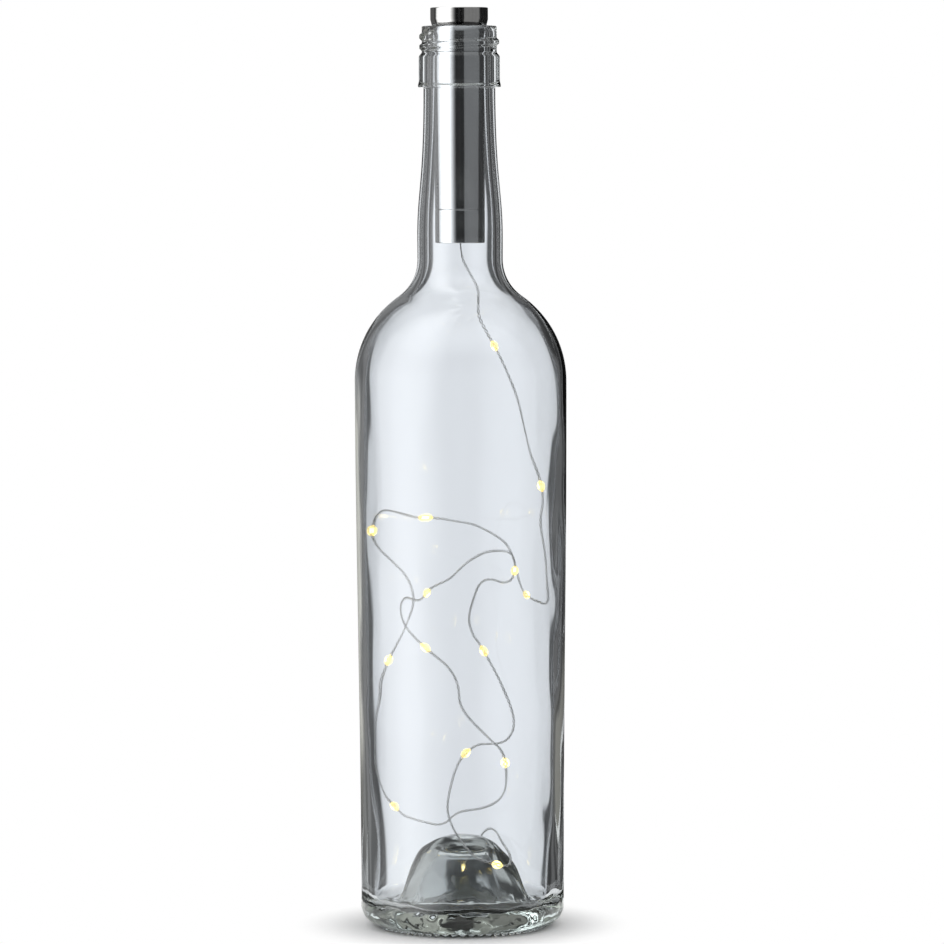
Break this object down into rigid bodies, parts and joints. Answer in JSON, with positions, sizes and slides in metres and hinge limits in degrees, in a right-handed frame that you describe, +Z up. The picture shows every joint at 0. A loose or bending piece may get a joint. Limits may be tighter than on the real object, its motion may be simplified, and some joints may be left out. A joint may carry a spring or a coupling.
{
  "type": "bottle light",
  "caption": "Clear glass bottle closed by a polished metal stopper that holds a cell, a switch and a driver, with a wire of warm drop lights hanging inside.",
  "frame": {"origin": "centre of the bottle's base, on the plane that its ring of beads stands on", "axes": "+Z up along the bottle's axis; -Y towards the side that the light string is seen from"},
  "size_m": [0.0766, 0.0766, 0.3324],
  "materials": {
    "bottle_glass": "clear blown glass",
    "polished_metal": "polished and plated",
    "switch_plastic": "matt moulded",
    "spring_steel": "drawn wire",
    "circuit_board": "solder mask",
    "brass": "turned",
    "cell_steel": "nickel plated",
    "cell_sleeve": "plain shrink sleeve",
    "cell_washer": "pressed card",
    "ferrite": "sintered",
    "chip_plastic": "moulded",
    "capacitor": "fired ceramic",
    "seal_rubber": "moulded",
    "light_wire": "lacquered silver wire",
    "drop_resin": "clear cast resin",
    "light_chip": "phosphor face"
  },
  "bodies": {
    "bottle": {"bottle": "bottle_glass", "light_wire": "light_wire", "led_drop_01": "drop_resin", "led_drop_02": "drop_resin", "led_drop_03": "drop_resin", "led_drop_04": "drop_resin", "led_drop_05": "drop_resin", "led_drop_06": "drop_resin", "led_drop_07": "drop_resin", "led_drop_08": "drop_resin", "led_drop_09": "drop_resin", "led_drop_10": "drop_resin", "led_drop_11": "drop_resin", "led_drop_12": "drop_resin", "led_drop_13": "drop_resin", "led_drop_14": "drop_resin", "led_drop_15": "drop_resin", "led_chip_01": "light_chip", "led_chip_02": "light_chip", "led_chip_03": "light_chip", "led_chip_04": "light_chip", "led_chip_05": "light_chip", "led_chip_06": "light_chip", "led_chip_07": "light_chip", "led_chip_08": "light_chip", "led_chip_09": "light_chip", "led_chip_10": "light_chip", "led_chip_11": "light_chip", "led_chip_12": "light_chip", "led_chip_13": "light_chip", "led_chip_14": "light_chip", "led_chip_15": "light_chip"},
    "stopper": {"stopper_tube": "polished_metal", "button_spring": "spring_steel", "switch_body": "switch_plastic", "switch_board": "circuit_board", "retaining_ring": "brass", "negative_spring": "spring_steel", "cell_can": "cell_steel", "cell_sleeve": "cell_sleeve", "cell_washer": "cell_washer", "cell_positive_cap": "cell_steel", "lead_wire": "light_wire"},
    "switch_button": {"switch_button": "polished_metal", "switch_plunger": "switch_plastic"},
    "cap_seal": {"end_cap_seal": "seal_rubber"},
    "end_cap": {"end_cap": "polished_metal", "wire_grommet": "seal_rubber", "driver_board": "circuit_board", "positive_contact": "brass", "boost_inductor": "ferrite", "driver_chip": "chip_plastic", "filter_capacitor": "capacitor", "solder_tails": "light_wire"}
  },
  "joints": [
    {"name": "stopper_lift", "type": "slide", "parent": "bottle", "child": "stopper", "axis": [0, 0, 1], "range_m": [0, 0.1], "deforming": ["lead_wire"]},
    {"name": "button_press", "type": "slide", "parent": "stopper", "child": "switch_button", "axis": [0, 0, -1], "range_m": [0, 0.001], "stiffness_N_per_m": 250, "springref_m": -0.001, "deforming": ["button_spring"]},
    {"name": "cap_travel", "type": "slide", "parent": "stopper", "child": "cap_seal", "axis": [0, 0, -1], "range_m": [0, 0.003]},
    {"name": "cap_turn", "type": "hinge", "parent": "cap_seal", "child": "end_cap", "pos_m": [0, 0, 0.2599], "axis": [0, 0, -1], "range_deg": [0, 1440]}
  ],
  "couplings": [
    {"joint": "cap_travel", "follows": "cap_turn", "m_per_rad": 0.00011937}
  ]
}
